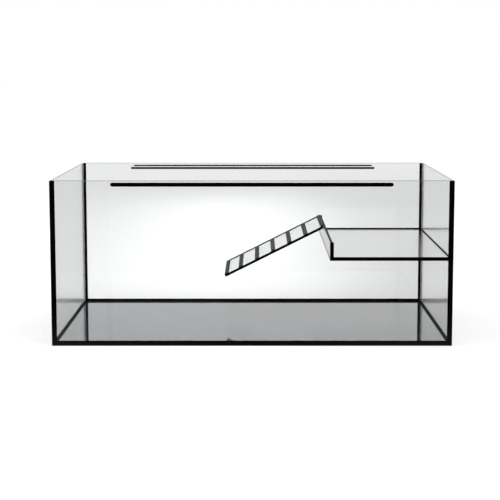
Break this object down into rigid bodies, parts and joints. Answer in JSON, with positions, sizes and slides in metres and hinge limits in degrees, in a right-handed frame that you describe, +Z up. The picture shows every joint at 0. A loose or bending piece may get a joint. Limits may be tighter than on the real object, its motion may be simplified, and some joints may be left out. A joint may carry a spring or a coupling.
{
  "type": "hamster cage",
  "caption": "Open-topped all-glass hamster tank bonded with black silicone, with two cover braces, a raised glass shelf with a lip, and a sloping glass ladder with raised rungs.",
  "frame": {"origin": "middle of the footprint, on the surface that the tank stands on", "axes": "+X to the right along the length, towards the shelf; +Y to the back, towards the pane that carries the ladder; +Z up"},
  "size_m": [1, 0.5, 0.415],
  "materials": {
    "clear_glass": "polished float glass with ground edges",
    "base_glass": "polished, grey",
    "black_silicone": "tooled silicone bead, satin",
    "rung_silicone": "domed silicone bead, glossy",
    "clear_silicone": "clear silicone glue line"
  },
  "bodies": {
    "root": {"front_pane": "clear_glass", "back_pane": "clear_glass", "left_pane": "clear_glass", "right_pane": "clear_glass", "bottom_pane": "base_glass", "front_brace": "clear_glass", "back_brace": "clear_glass", "shelf_pane": "clear_glass", "shelf_lip": "clear_glass", "ladder_pane": "clear_glass", "corner_seam_front_left": "black_silicone", "corner_seam_front_right": "black_silicone", "corner_seam_back_left": "black_silicone", "corner_seam_back_right": "black_silicone", "floor_seam_front": "black_silicone", "floor_seam_back": "black_silicone", "floor_seam_left": "black_silicone", "floor_seam_right": "black_silicone", "brace_seam_front": "black_silicone", "brace_seam_back": "black_silicone", "shelf_seam_front": "black_silicone", "shelf_seam_back": "black_silicone", "shelf_seam_right": "black_silicone", "lip_seam_bottom": "clear_silicone", "lip_seam_front": "black_silicone", "lip_seam_back": "black_silicone", "ladder_seam_back": "black_silicone", "ladder_seam_top": "black_silicone", "ladder_edge_bead": "black_silicone", "lip_edge_bead": "rung_silicone", "ladder_rung_1": "rung_silicone", "ladder_rung_2": "rung_silicone", "ladder_rung_3": "rung_silicone", "ladder_rung_4": "rung_silicone", "ladder_rung_5": "rung_silicone", "ladder_rung_6": "rung_silicone"}
  },
  "joints": []
}
